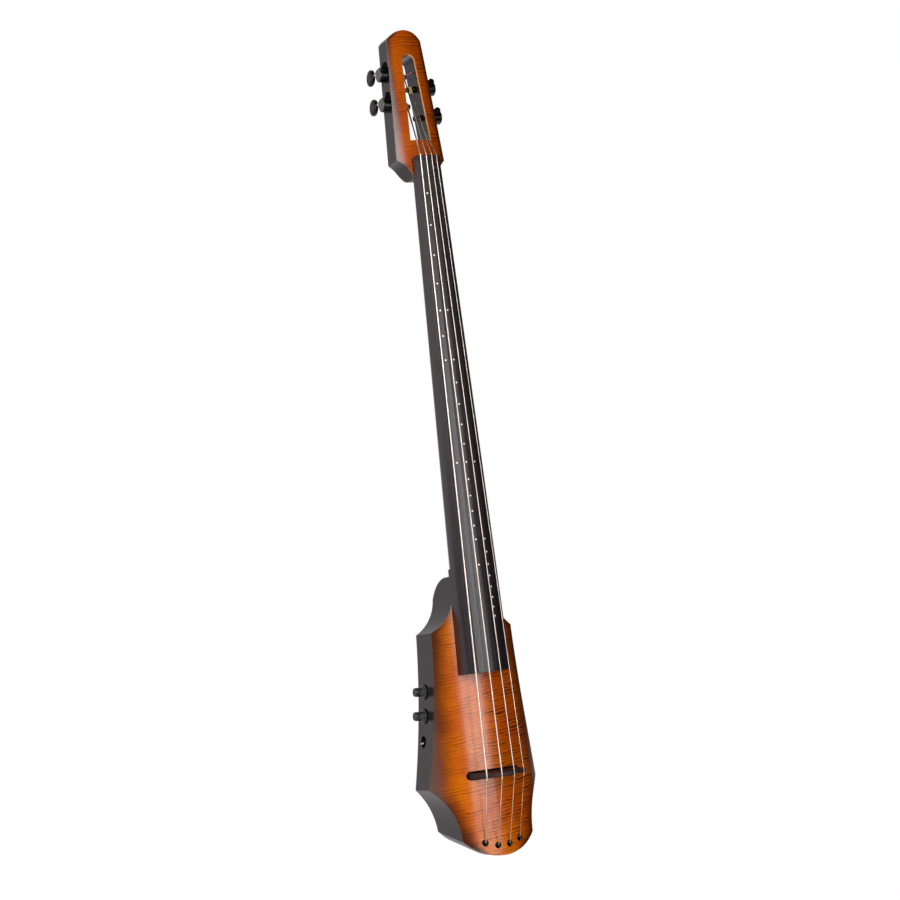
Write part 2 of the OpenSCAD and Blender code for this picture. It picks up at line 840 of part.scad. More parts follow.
// oval key, held on the end of the worm shaft
module key_button() {
    color(dark_metal) translate([worm_x, key_reach, worm_gap]) difference() {
        union() {
            intersection() {
                scale([1, key_oval, 1]) bar_x(-4.5, 4.5, key_w / 2);
                translate([key_dome - 4.8, 0, 0]) sphere(r = key_dome, $fn = 120);
                translate([4.8 - key_dome, 0, 0]) sphere(r = key_dome, $fn = 120);
            }
            bar_y(-17, -6, 3.6);
        }
        bar_y(-18, -2.9, 2.53);
    }
}

// turns of string lying side by side on the post
module coil(i) {
    d = string_dia[i];
    x = head_w(post_z[i]) - abs(coil_x[i]);
    color(steel) translate([-x - 1.5 * d, 0, 0]) rotate([0, 90, 0]) rotate_extrude(convexity = 4)
        polygon(concat([[post_dia / 2 + 0.03, 0], [post_dia / 2 + 0.03, 3 * d]],
            [for (k = [2:-1:0]) for (c = [[0.55, 1], [1, 0.72], [1, 0.28], [0.55, 0]])
                [post_dia / 2 + 0.05 + c[0] * d, (k + c[1]) * d]]));
}

module housing_e() {
    in_frame() tuner(0) housing();
}

module housing_a() {
    in_frame() tuner(1) housing();
}

module housing_d() {
    in_frame() tuner(2) housing();
}

module housing_g() {
    in_frame() tuner(3) housing();
}

module cap_e() {
    in_frame() tuner(0) cap();
}

module cap_a() {
    in_frame() tuner(1) cap();
}

module cap_d() {
    in_frame() tuner(2) cap();
}

module cap_g() {
    in_frame() tuner(3) cap();
}

module worm_e() {
    in_frame() tuner(0) worm();
}

module worm_a() {
    in_frame() tuner(1) worm();
}

module worm_d() {
    in_frame() tuner(2) worm();
}

module worm_g() {
    in_frame() tuner(3) worm();
}

module key_e() {
    in_frame() tuner(0) key_button();
}

module key_a() {
    in_frame() tuner(1) key_button();
}

module key_d() {
    in_frame() tuner(2) key_button();
}

module key_g() {
    in_frame() tuner(3) key_button();
}

module gear_e() {
    in_frame() tuner(0) gear();
}

module gear_a() {
    in_frame() tuner(1) gear();
}

module gear_d() {
    in_frame() tuner(2) gear();
}

module gear_g() {
    in_frame() tuner(3) gear();
}

module post_e() {
    in_frame() tuner(0) post(0);
}

module post_a() {
    in_frame() tuner(1) post(1);
}

module post_d() {
    in_frame() tuner(2) post(2);
}

module post_g() {
    in_frame() tuner(3) post(3);
}

module coil_e() {
    in_frame() tuner(0) coil(0);
}

module coil_a() {
    in_frame() tuner(1) coil(1);
}

module coil_d() {
    in_frame() tuner(2) coil(2);
}

module coil_g() {
    in_frame() tuner(3) coil(3);
}

module tuner_screws() {
    color(steel) in_frame() for (i = [0:3]) tuner(i)
        translate([0, ear_at[0], ear_at[1]]) difference() {
            union() {
                bar_x(-12, 3.1, 1.4);
                bar_x(3.05, 4.7, 2.9);
            }
            translate([4, -2, -0.3]) cube([1, 4, 0.6]);
            translate([4, -0.3, -2]) cube([1, 0.6, 4]);
        }
}

body_core();
body_top();
neck();
head_plate();
fingerboard();
position_dots();
nut();
truss_rod();
bridge();
bridge_pickup();
pickup_lead();
string_e();
string_a();
string_d();
string_g();
string_ferrules();
string_anchors();
volume_pot();
tone_pot();
volume_shaft();
tone_shaft();
volume_knob();
tone_knob();
mode_switch();
switch_lever();
output_jack();
circuit_board();
cavity_cover();
cover_screws();
stand_socket();
tuner_screws();
housing_e();
housing_a();
housing_d();
housing_g();
cap_e();
cap_a();
cap_d();
cap_g();
worm_e();
worm_a();
worm_d();
worm_g();
key_e();
key_a();
key_d();
key_g();
gear_e();
gear_a();
gear_d();
gear_g();
post_e();
post_a();
post_d();
post_g();
coil_e();
coil_a();
coil_d();
coil_g();
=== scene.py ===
"""Looks of a solid-body electric upright double bass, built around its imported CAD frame.

Lengths are metres in the CAD frame: +Z runs up the strings, the strings face -Y and +X is the
treble side. Profiles of turned and moulded pieces are in millimetres of a local frame.
"""

import json
import math

import bmesh
import bpy
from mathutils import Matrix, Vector

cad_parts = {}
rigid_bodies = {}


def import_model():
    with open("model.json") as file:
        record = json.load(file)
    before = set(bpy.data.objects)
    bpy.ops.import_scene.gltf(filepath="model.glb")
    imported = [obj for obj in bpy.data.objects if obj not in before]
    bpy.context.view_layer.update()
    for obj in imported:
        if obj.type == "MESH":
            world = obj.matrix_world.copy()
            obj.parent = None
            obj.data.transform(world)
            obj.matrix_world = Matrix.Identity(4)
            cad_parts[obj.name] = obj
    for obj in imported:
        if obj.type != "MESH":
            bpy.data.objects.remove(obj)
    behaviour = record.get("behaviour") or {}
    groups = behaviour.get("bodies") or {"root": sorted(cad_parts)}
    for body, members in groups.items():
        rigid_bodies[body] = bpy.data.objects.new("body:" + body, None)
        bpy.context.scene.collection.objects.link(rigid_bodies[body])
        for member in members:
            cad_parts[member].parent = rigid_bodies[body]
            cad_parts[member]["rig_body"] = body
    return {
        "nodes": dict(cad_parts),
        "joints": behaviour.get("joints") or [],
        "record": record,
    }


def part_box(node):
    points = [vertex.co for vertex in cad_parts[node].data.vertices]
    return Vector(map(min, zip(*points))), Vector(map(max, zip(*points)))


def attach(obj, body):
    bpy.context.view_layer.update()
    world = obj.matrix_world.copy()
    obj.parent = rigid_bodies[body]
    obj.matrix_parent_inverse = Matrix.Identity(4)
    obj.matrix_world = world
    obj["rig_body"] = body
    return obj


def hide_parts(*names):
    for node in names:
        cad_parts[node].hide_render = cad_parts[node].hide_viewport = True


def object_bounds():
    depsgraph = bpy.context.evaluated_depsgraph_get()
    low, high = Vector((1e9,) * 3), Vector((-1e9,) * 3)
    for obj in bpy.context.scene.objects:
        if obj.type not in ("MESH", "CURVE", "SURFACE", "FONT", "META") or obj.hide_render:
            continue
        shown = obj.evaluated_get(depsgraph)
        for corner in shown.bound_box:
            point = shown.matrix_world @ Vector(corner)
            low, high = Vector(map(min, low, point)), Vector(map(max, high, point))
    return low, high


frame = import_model()
CAD_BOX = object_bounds()
NODES = frame["nodes"]
JOINTS = {joint["name"]: joint for joint in frame["joints"]}
SLOTS = {part["node"]: part["material_slot"] for part in frame["record"]["subparts"]}
ROOT = "instrument"
STRINGS = "eadg"
MM = 0.001


# ---------------------------------------------------------------- shader nodes

class Nodes:
    """Adds nodes to a tree. A socket given as an input is linked, anything else is its value."""

    def __init__(self, tree):
        self.tree = tree
        tree.nodes.clear()

    def add(self, kind, inputs=(), **settings):
        node = self.tree.nodes.new("ShaderNode" + kind)
        for key, value in settings.items():
            setattr(node, key, value)
        for key, value in dict(inputs).items():
            if isinstance(value, bpy.types.NodeSocket):
                self.tree.links.new(value, node.inputs[key])
            else:
                node.inputs[key].default_value = value
        return node

    def math(self, operation, *values):
        return self.add("Math", enumerate(values), operation=operation).outputs[0]

    def plus(self, one, other):
        return self.math("ADD", one, other)

    def minus(self, one, other):
        return self.math("SUBTRACT", one, other)

    def times(self, one, other):
        return self.math("MULTIPLY", one, other)

    def times_plus(self, one, other, extra):
        return self.math("MULTIPLY_ADD", one, other, extra)

    def spread(self, value, low, high, to_low=0.0, to_high=1.0):
        """Value moved from low..high to to_low..to_high with soft ends."""
        node = self.add("MapRange", {0: value, 1: low, 2: high, 3: to_low, 4: to_high},
                        interpolation_type="SMOOTHSTEP")
        return node.outputs[0]

    def blend(self, factor, one, other):
        """Colour that goes from one to the other as factor goes from 0 to 1."""
        return self.add("Mix", {0: factor, 6: one, 7: other}, data_type="RGBA").outputs[2]


class Paint(Nodes):
    """The nodes of a new material."""

    def __init__(self, name):
        self.material = bpy.data.materials.new(name)
        self.material.use_nodes = True
        super().__init__(self.material.node_tree)

    def place(self):
        return self.add("TexCoord").outputs["Object"]

    def axis(self, name):
        return self.add("SeparateXYZ", {0: self.place()}).outputs[name]

    def normal(self):
        return self.add("NewGeometry").outputs["Normal"]

    def facing_back(self):
        """From -1 where the surface faces the strings' side to 1 where it faces the back."""
        return self.add("SeparateXYZ", {0: self.normal()}).outputs["Y"]

    def noise(self, scale, detail=3.0, rough=0.5, warp=0.0, at=None):
        where = self.place() if at is None else at
        node = self.add("TexNoise", {"Vector": where, "Scale": scale, "Detail": detail,
                                     "Roughness": rough, "Distortion": warp})
        return node.outputs[0]

    def streaks(self, scales, detail=3.0, rough=0.5, warp=0.0):
        """Noise drawn out along the axes that have the smaller scales."""
        stretched = self.add("Mapping", {"Vector": self.place(), "Scale": scales}).outputs[0]
        return self.noise(1.0, detail, rough, warp, at=stretched)

    def edge(self, radius):
        """0 on flat stretches, rising to 1 along sharp edges, with the rounded normal."""
        bevel = self.add("Bevel", {"Radius": radius}, samples=4).outputs[0]
        same = self.add("VectorMath", {0: bevel, 1: self.normal()}, operation="DOT_PRODUCT")
        return self.spread(same.outputs["Value"], 0.99, 0.8), bevel

    def bump(self, height, depth, strength=0.4, normal=None):
        inputs = {"Height": height, "Strength": strength, "Distance": depth}
        if normal is not None:
            inputs["Normal"] = normal
        return self.add("Bump", inputs).outputs[0]

    def shade(self, colour, rough, normal=None, more=()):
        """Ends the material in a Principled shader; more holds further inputs of it by name."""
        inputs = {"Base Color": colour, "Roughness": rough, **dict(more)}
        if normal is not None:
            inputs["Normal"] = normal
        shader = self.add("BsdfPrincipled", inputs)
        self.add("OutputMaterial", {"Surface": shader.outputs[0]})
        return self.material


def rgb(red, green, blue):
    """Linear colour from 0..255 display values."""
    def linear(value):
        value /= 255.0
        return value / 12.92 if value <= 0.04045 else ((value + 0.055) / 1.055) ** 2.4
    return (linear(red), linear(green), linear(blue), 1.0)


def scaled(colour, gain, lift=0.0):
    """A colour made brighter or darker, at most white."""
    return tuple(min(1, part * gain + lift) for part in colour[:3]) + (1,)


# ---------------------------------------------------------------- camera, light and stage

# The photograph's camera, worked out from where its position dots and string ends lie; its
# turns about x, y and z are in degrees.
CAMERA_AT = (-1.49828, -3.15251, 0.16588)
CAMERA_TURN = (95.9429, 6.933, -25.2801)
CAMERA_LENS = 79.38

# The room's light from behind, what its low part adds to that as a multiple, and the light from
# the bass side: the run of direction over which each sets in, then its strength before and after.
ROOM_BEHIND = (0.2, 0.85, 0.0, 0.56)
ROOM_BELOW = (-0.38, -0.65, 0.0, 4.2)
ROOM_ASIDE = (-0.78, -1.0, 0.0, 1.8)
ROOM_COLOUR = (1, 0.93, 0.94, 1)

WHITE = (1, 1, 1, 1)
FLOOR_DROP = 0.75
FLOOR_RADIUS = 1.6


def make_camera():
    """Long lens a little over three metres away, level with the body, to its bass side."""
    data = bpy.data.cameras.new("camera")
    data.sensor_width = 36.0
    data.lens = CAMERA_LENS
    data.clip_end = 60.0
    camera = bpy.data.objects.new("camera", data)
    camera.location = CAMERA_AT
    camera.rotation_euler = [math.radians(turn) for turn in CAMERA_TURN]
    bpy.context.scene.collection.objects.link(camera)
    bpy.context.scene.camera = camera


def softbox(name, place, aim, width, height, radiance):
    """Flat rectangular lamp of an even brightness, which the camera doesn't see."""
    data = bpy.data.lights.new(name, "AREA")
    data.shape = "RECTANGLE"
    data.size = width
    data.size_y = height
    data.energy = radiance * math.pi * width * height
    light = bpy.data.objects.new(name, data)
    light.location = place
    light.rotation_euler = (Vector(aim) - Vector(place)).to_track_quat("-Z", "Y").to_euler()
    light.visible_camera = False
    bpy.context.scene.collection.objects.link(light)


def make_lights():
    """A large box in front, a bright bank in a wider haze on the bass side, a bank above."""
    softbox("front_box", (0.16, -3.2, 0.45), (0, 0, 0.45), 2.15, 1.8, 5.8)
    softbox("side_bank", (-2.45, -1.85, 2.0), (0, 0, 1.0), 1.5, 1.1, 5.5)
    softbox("side_haze", (-2.55, -1.95, 2.02), (0, 0, 1.0), 2.5, 1.7, 3.6)
    softbox("top_bank", (-0.5, 0.6, 3.4), (0, 0, 0.3), 1.6, 1.6, 2.0)


def make_world():
    """White to look at. As light it comes from behind, most of all low down, and from the bass
    side, and nothing comes from the front."""
    world = bpy.data.worlds.new("studio")
    world.use_nodes = True
    nodes = Nodes(world.node_tree)
    toward = nodes.add("SeparateXYZ", {0: nodes.add("TexCoord").outputs["Generated"]}).outputs
    behind = nodes.spread(toward["Y"], *ROOM_BEHIND)
    below = nodes.spread(toward["Z"], *ROOM_BELOW)
    aside = nodes.spread(toward["X"], *ROOM_ASIDE)
    strength = nodes.plus(nodes.plus(behind, aside), nodes.times(behind, below))
    room = nodes.add("Background", {"Color": ROOM_COLOUR, "Strength": strength}).outputs[0]
    seen = nodes.add("Background", {"Color": WHITE}).outputs[0]
    camera_ray = nodes.add("LightPath").outputs["Is Camera Ray"]
    mix = nodes.add("MixShader", {0: camera_ray, 1: room, 2: seen})
    nodes.add("OutputWorld", {"Surface": mix.outputs[0]})
    bpy.context.scene.world = world


def make_floor():
    """Round pale floor well below the instrument, which hangs free."""
    mesh = bpy.data.meshes.new("floor")
    shape = bmesh.new()
    bmesh.ops.create_circle(shape, cap_ends=True, radius=FLOOR_RADIUS, segments=96)
    shape.to_mesh(mesh)
    shape.free()
    floor = bpy.data.objects.new("floor", mesh)
    floor.location = (0, 0, CAD_BOX[0].z - FLOOR_DROP)
    bpy.context.scene.collection.objects.link(floor)
    glow = {"Emission Color": WHITE, "Emission Strength": 0.97}
    mesh.materials.append(Paint("studio_paper").shade((0.3, 0.3, 0.3, 1), 0.9, more=glow))


make_camera()
make_world()
make_lights()
make_floor()
bpy.context.scene.view_settings.view_transform = "Standard"


# ---------------------------------------------------------------- lacquer and wood

LACQUER = rgb(22, 20, 20)

# Half widths of the figured plates at a few heights. The burst and the painted rim follow them.
BODY_RIM = [(-0.176, 0.030), (-0.145, 0.0667), (-0.054, 0.103), (0.209, 0.0765), (0.262, 0.042)]
HEAD_RIM = [(0.985, 0.024), (1.0275, 0.0459), (1.248, 0.033), (1.262, 0.016)]


def satin_black():
    """Black lacquer with a fine peel, over wood whose fibre shows a little, worn at its edges."""
    paint = Paint("satin_black_lacquer")
    edge, round_normal = paint.edge(0.0009)
    cloud = paint.noise(9.0, 4.0, 0.55)
    peel = paint.noise(900.0, 2.0, 0.5)
    fibre = paint.streaks((420, 420, 9), 4.0, 0.6)
    tone = paint.blend(paint.spread(cloud, 0.3, 0.7), rgb(19, 16, 18), rgb(24, 20, 22))
    tone = paint.blend(paint.times(edge, 0.5), tone, rgb(70, 66, 66))
    rough = paint.plus(paint.spread(cloud, 0.25, 0.75, 0.20, 0.27), paint.times(edge, -0.05))
    grain = paint.plus(paint.times(fibre, 0.5), paint.times(peel, 0.5))
    return paint.shade(tone, rough, paint.bump(grain, 0.00003, normal=round_normal))


def reach_to_rim(paint, x, z, rim):
    """0 on a plate's centre line, 1 at its outline."""
    gain = 5
    low, high = rim[0][0], rim[-1][0]
    along = paint.add("MapRange", {0: z, 1: low, 2: high}).outputs[0]
    ramp = paint.add("ValToRGB", {0: along})
    while len(ramp.color_ramp.elements) < len(rim):
        ramp.color_ramp.elements.new(0.5)
    for stop, (height, half) in zip(ramp.color_ramp.elements, rim):
        stop.position = (height - low) / (high - low)
        stop.color = (half * gain,) * 3 + (1,)
    half_width = paint.times(ramp.outputs[0], 1 / gain)
    return paint.math("DIVIDE", paint.math("ABSOLUTE", x), half_width)


def curl_figure(paint, x, z):
    """Rows of thin dark lines across the grain, gathered into broader soft bands."""
    sway = paint.streaks((9, 9, 22), 2.0)
    across = paint.plus(z, paint.times_plus(x, -0.10, paint.times(sway, 0.010)))

    def plane(along_scale, across_scale, layer):
        parts = {0: paint.times(x, along_scale), 1: paint.times(across, across_scale), 2: layer}
        return paint.add("CombineXYZ", parts).outputs[0]

    lines_at = plane(26.0, 95.0, 0.0)
    bands_at = plane(12.0, 48.0, 3.7)
    shift = paint.times(paint.noise(1.0, 2.0, 0.5, at=lines_at), 11.0)
    wave = paint.math("SINE", paint.times_plus(across, 1120.0, shift))
    broken = paint.spread(paint.noise(1.0, 3.0, 0.6, at=lines_at), 0.36, 0.58, 0.30, 1.0)
    thin = paint.times(paint.spread(wave, -0.35, 1.0), broken)
    wide = paint.spread(paint.noise(1.0, 2.0, 0.5, at=bands_at), 0.38, 0.62)
    return paint.times(thin, paint.times_plus(wide, 0.55, 0.45))


def flamed_maple(name, rim, burst_from, redder, figure_over, black_end=None):
    """Curly maple under an amber burst that starts burst_from of the way to the rim.

    redder is how far the amber goes to red-brown on the bass side and on the treble side.
    figure_over is the run of x over which the figure reaches full strength, and its strength
    before that. Given black_end, the run of height over which the painted rim closes round the
    plate's end, the walls of the plate's slot show the plate's own wood, painted lighter than its
    front as a painted highlight.
    """
    paint = Paint(name)
    x, z = paint.axis("X"), paint.axis("Z")
    reach = reach_to_rim(paint, x, z, rim)
    cloud = paint.noise(14.0, 3.0, 0.5)
    uneven_reach = paint.plus(reach, paint.times(paint.minus(cloud, 0.5), 0.2))
    tone = paint.blend(paint.spread(cloud, 0.3, 0.7), rgb(198, 100, 0), rgb(178, 74, 0))
    tone = paint.blend(paint.spread(x, -0.01, 0.05, *redder), tone, rgb(134, 44, 1))
    tone = paint.blend(paint.spread(uneven_reach, burst_from, 0.98), tone, rgb(66, 28, 4))
    figure = paint.times(curl_figure(paint, x, z), paint.spread(x, *figure_over, 1.0))
    tone = paint.blend(figure, tone, rgb(58, 14, 0))
    fibre = paint.streaks((1100, 1100, 30), 3.0, 0.6)
    tone = paint.blend(paint.spread(fibre, 0.4, 0.75, 0.0, 0.07), tone, rgb(176, 92, 8))
    wall = paint.spread(paint.facing_back(), -0.42, -0.22)
    if black_end:
        closing = paint.spread(z, *black_end)
        outer = paint.math("MAXIMUM", paint.spread(reach, 0.72, 0.82), closing)
        # Slot walls: the plate's own wood, painted brighter than its front as a painted highlight.
        bare_wall_highlight = paint.times(wall, paint.minus(1.0, outer))
        tone = paint.blend(bare_wall_highlight, tone, rgb(250, 160, 84))
        wall = paint.times(wall, outer)
    tone = paint.blend(wall, tone, LACQUER)
    rough = paint.plus(paint.spread(cloud, 0.2, 0.8, 0.19, 0.24), paint.times(fibre, 0.04))
    relief = paint.plus(paint.times(figure, 0.3), paint.times(fibre, 0.4))
    round_normal = paint.edge(0.0008)[1]
    return paint.shade(tone, rough, paint.bump(relief, 0.00004, normal=round_normal))


def painted_rim_highlight():
    """Rounded rim of a figured plate with a pale painted highlight where it faces forward, black
    on the wall.
    """
    paint = Paint("painted_rim_highlight")
    grain = paint.streaks((300, 300, 90), 3.0, 0.6)
    # The pale tones are a painted highlight along the rounded rim; the black where it turns
    # sideways is the rim's paint.
    tone = paint.blend(paint.spread(grain, 0.3, 0.7), rgb(226, 172, 140), rgb(196, 128, 84))
    tone = paint.blend(paint.spread(paint.facing_back(), -0.30, -0.10), tone, LACQUER)
    return paint.shade(tone, 0.22, paint.bump(grain, 0.00002, 0.3))


def ebony(name, brown, rough, specular):
    """Near-black wood with streaks of the given brown and fine dark pores."""
    paint = Paint(name)
    edge, round_normal = paint.edge(0.0006)
    streak = paint.streaks((120, 120, 4), 4.0, 0.6, 0.4)
    pores = paint.spread(paint.streaks((1600, 1600, 60), 2.0, 0.5), 0.62, 0.72)
    tone = paint.blend(paint.spread(streak, 0.35, 0.7), rgb(26, 20, 23), brown)
    tone = paint.blend(paint.times(pores, 0.6), tone, rgb(10, 9, 9))
    tone = paint.blend(paint.times(edge, 0.5), tone, rgb(96, 88, 84))
    uneven = paint.spread(streak, 0.3, 0.7, rough - 0.03, rough + 0.04)
    relief = paint.minus(paint.times(streak, 0.3), pores)
    return paint.shade(tone, uneven, paint.bump(relief, 0.00007, 0.5, round_normal),
                       {"Specular IOR Level": specular})


# ---------------------------------------------------------------- metal, plastic and silk

def metal(name, colour, rough, wear=0.2, brushed=(300, 300, 300), depth=0.00002):
    """Brushed metal, a little smudged, its edges worn lighter. brushed is the fineness of the
    brushing along each axis and depth is how deep it goes."""
    paint = Paint(name)
    edge, round_normal = paint.edge(0.0004)
    brush = paint.streaks(brushed, 3.0, 0.6)
    smudge = paint.noise(60.0, 3.0, 0.5)
    tone = paint.blend(paint.spread(smudge, 0.3, 0.7), colour, scaled(colour, 0.8))
    tone = paint.blend(paint.times(edge, wear), tone, scaled(colour, 1.3, 0.04))
    smudged = paint.spread(smudge, 0.3, 0.7, rough - 0.06, rough)
    uneven = paint.plus(paint.times(brush, 0.12), smudged)
    return paint.shade(tone, uneven, paint.bump(brush, depth, normal=round_normal),
                       {"Metallic": 1.0})


def plastic(name, colour, rough, coat=0.0):
    """Moulded plastic with a fine grain, or a coated board if coat is more than 0."""
    paint = Paint(name)
    edge, round_normal = paint.edge(0.0005)
    grain = paint.noise(1400.0, 2.0, 0.5)
    cloud = paint.noise(45.0, 3.0, 0.5)
    light = scaled(colour, 1.5, 0.01)
    tone = paint.blend(paint.times(paint.spread(cloud, 0.3, 0.7), 0.3), colour, light)
    tone = paint.blend(paint.times(edge, 0.3), tone, light)
    uneven = paint.spread(cloud, 0.3, 0.7, rough - 0.05, rough + 0.05)
    return paint.shade(tone, uneven, paint.bump(grain, 0.00004, normal=round_normal),
                       {"Coat Weight": coat, "Coat Roughness": 0.1})


def pearl():
    """Clouded white of the position dots."""
    paint = Paint("dot_pearl")
    cloud = paint.noise(700.0, 3.0, 0.6, 1.0)
    tone = paint.blend(cloud, rgb(250, 248, 240), rgb(224, 226, 218))
    return paint.shade(tone, 0.25, paint.bump(cloud, 0.00002, 0.3),
                       {"Coat Weight": 0.4, "Coat Roughness": 0.1})


def silk(name, colour, dark):
    """Thread wrapped round a string end."""
    paint = Paint(name)
    thread = paint.streaks((700, 700, 2600), 3.0, 0.6)
    tone = paint.blend(paint.spread(thread, 0.3, 0.7), dark, colour)
    return paint.shade(tone, 0.75, paint.bump(thread, 0.00015, 0.8), {"Sheen Weight": 0.4})


BLACK = satin_black()
TOP = flamed_maple("flamed_maple_top", BODY_RIM, 0.54, (0.0, 0.6), (-0.05, 0.02, 0.52))
HEAD = flamed_maple("flamed_maple_head", HEAD_RIM, 0.66, (0.5, 0.8), (-0.02, 0.05, 0.52),
                    black_end=(1.226, 1.240))
RIM_HIGHLIGHT = painted_rim_highlight()
BOARD = ebony("ebony_board", rgb(38, 27, 31), 0.35, 0.5)
EBONY = ebony("ebony_fittings", rgb(50, 30, 30), 0.5, 0.25)
PEARL = pearl()
WOUND = metal("wound_steel", (0.80, 0.72, 0.64, 1), 0.34, brushed=(200, 200, 3000),
              depth=0.00008)
WRAP = metal("wrapped_bronze", (0.52, 0.34, 0.23, 1), 0.45, brushed=(300, 300, 2600),
             depth=0.00008)
CHROME = metal("black_chrome", (0.035, 0.034, 0.036, 1), 0.22, wear=0.5)
GLOSS = metal("gloss_black_nickel", (0.03, 0.03, 0.032, 1), 0.12, wear=0.3)
SMOKE = metal("smoked_steel", (0.22, 0.22, 0.19, 1), 0.34, wear=0.9)
STEEL = metal("plain_steel", (0.62, 0.61, 0.6, 1), 0.3)
NICKEL = metal("bright_nickel", (0.8, 0.79, 0.77, 1), 0.12)
BRASS = metal("machined_brass", (0.62, 0.43, 0.17, 1), 0.32)
KNOB = plastic("knob_plastic", (0.010, 0.010, 0.011, 1), 0.34)
MARK = plastic("index_mark", (0.3, 0.3, 0.3, 1), 0.5)
CASE = plastic("case_plastic", (0.02, 0.02, 0.022, 1), 0.35)
CIRCUIT = plastic("board_green", (0.015, 0.09, 0.04, 1), 0.3, coat=0.4)
SILKS = {
    "e": silk("silk_purple", rgb(70, 44, 84), rgb(30, 18, 38)),
    "a": silk("silk_red", rgb(214, 64, 108), rgb(140, 24, 56)),
    "d": silk("silk_yellow", rgb(236, 226, 112), rgb(176, 160, 56)),
    "g": silk("silk_grey", rgb(58, 54, 60), rgb(26, 24, 28)),
}

FINISH = {
    "black_satin": BLACK, "flamed_maple": TOP, "ebony": BOARD, "pearl_dot": PEARL,
    "string_steel": WOUND, "black_chrome": CHROME, "knob_black": KNOB, "cap_metal": SMOKE,
    "brass": BRASS, "board_green": CIRCUIT, "black_plastic": CASE, "steel": STEEL,
}
OWN_FINISH = {"head_plate": HEAD, "bridge": EBONY, "nut": EBONY}


def dress_nodes():
    """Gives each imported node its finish; its shape stays as it is."""
    for node, material_slot in SLOTS.items():
        mesh = NODES[node].data
        mesh.materials.clear()
        mesh.materials.append(OWN_FINISH.get(node, FINISH[material_slot]))


# ---------------------------------------------------------------- mesh kit

WELD = 2e-6


def add_piece(name, shape, material, body, slot, stands_for=()):
    """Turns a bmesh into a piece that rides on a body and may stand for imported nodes."""
    bmesh.ops.recalc_face_normals(shape, faces=shape.faces)
    mesh = bpy.data.meshes.new(name)
    shape.to_mesh(mesh)
    shape.free()
    mesh.materials.append(material)
    piece = bpy.data.objects.new(name, mesh)
    bpy.context.scene.collection.objects.link(piece)
    mesh.shade_smooth()
    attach(piece, body)
    if stands_for:
        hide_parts(*stands_for)
    return piece


def join_rings(shape, rings, closed=False):
    """Faces between neighbouring rings of vertices; a ring of one vertex is a tip."""
    pairs = list(zip(rings, rings[1:])) + ([(rings[-1], rings[0])] if closed else [])
    for near, far in pairs:
        count = max(len(near), len(far))
        for k in range(count):
            after = (k + 1) % count
            corners = [near[k % len(near)], near[after % len(near)],
                       far[after % len(far)], far[k % len(far)]]
            unique = list(dict.fromkeys(corners))
            if len(unique) > 2:
                shape.faces.new(unique)


def lathe(shape, place, profile, steps=48, ribs=0, rib_depth=0.0, closed=False):
    """Turns [along, radius] pairs about local x; a third entry says how strong the ribs are."""
    rings = []
    for along, radius, *strength in profile:
        if radius == 0:
            rings.append([shape.verts.new(place(along, 0, 0))])
            continue
        ring = []
        for k in range(steps):
            angle = 2 * math.pi * k / steps
            rib = 0.5 - 0.5 * math.cos(ribs * angle)
            reach = radius - (strength[0] * rib_depth * rib if strength else 0.0)
            spot = place(along, reach * math.cos(angle), reach * math.sin(angle))
            ring.append(shape.verts.new(spot))
        rings.append(ring)
    join_rings(shape, rings, closed)


def sweep(shape, points, radii, sides=12):
    """Round tube along points, with a frame carried from ring to ring and closed ends."""
    last = len(points) - 1
    angles = [2 * math.pi * k / sides for k in range(sides)]
    side = None
    rings = []
    for k, (point, radius) in enumerate(zip(points, radii)):
        ahead = (points[min(k + 1, last)] - points[max(k - 1, 0)]).normalized()
        if side is None:
            side = ahead.orthogonal().normalized()
        side = (side - ahead * side.dot(ahead)).normalized()
        other = ahead.cross(side)
        rings.append([shape.verts.new(point + (side * math.cos(a) + other * math.sin(a)) * radius)
                      for a in angles])
    join_rings(shape, rings)
    shape.faces.new(rings[0])
    shape.faces.new(rings[-1])


def box_of(points):
    """Lowest and highest corner of the box round some points."""
    return (Vector([min(point[k] for point in points) for k in range(3)]),
            Vector([max(point[k] for point in points) for k in range(3)]))


def local_frame(origin, along, side, other):
    """Function from millimetres along three directions to a point in metres."""
    def place(x, y, z):
        return origin + (along * x + side * y + other * z) * MM
    return place


def frame_of(joint, depth):
    """Local frame of a turning part: x along its outward axis, y back, z up.
    depth is how far out of its seat the joint's point lies."""
    out = Vector(JOINTS[joint]["axis"]).normalized()
    back = Vector((0, 1, 0))
    up = out.cross(back)
    if up.z < 0:
        up = -up
    seat = Vector(JOINTS[joint]["pos_m"]) - out * depth * MM
    return local_frame(seat, out, back, up)


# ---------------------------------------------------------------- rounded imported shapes

SHARP = math.radians(32.0)
FLAT = math.radians(0.6)


def soften(node, width, material, segments=2, edge_material=None):
    """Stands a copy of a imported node, with its sharp edges really rounded, in its place."""
    shape = bmesh.new()
    shape.from_mesh(NODES[node].data)
    bmesh.ops.remove_doubles(shape, verts=shape.verts, dist=WELD)
    bmesh.ops.dissolve_limit(shape, angle_limit=FLAT, verts=shape.verts, edges=shape.edges)
    body = NODES[node]["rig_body"]
    piece = add_piece(node + "_finished", shape, material, body, SLOTS[node], (node,))
    bevel = piece.modifiers.new("rounding", "BEVEL")
    bevel.width = width
    bevel.segments = segments
    bevel.limit_method = "ANGLE"
    bevel.angle_limit = SHARP
    bevel.use_clamp_overlap = True
    if edge_material:
        piece.data.materials.append(edge_material)
        bevel.material = 1
    piece.data.set_sharp_from_angle(angle=SHARP)
    even = piece.modifiers.new("flat_faces_flat", "WEIGHTED_NORMAL")
    even.weight = 100
    even.keep_sharp = True


# ---------------------------------------------------------------- strings and their ends

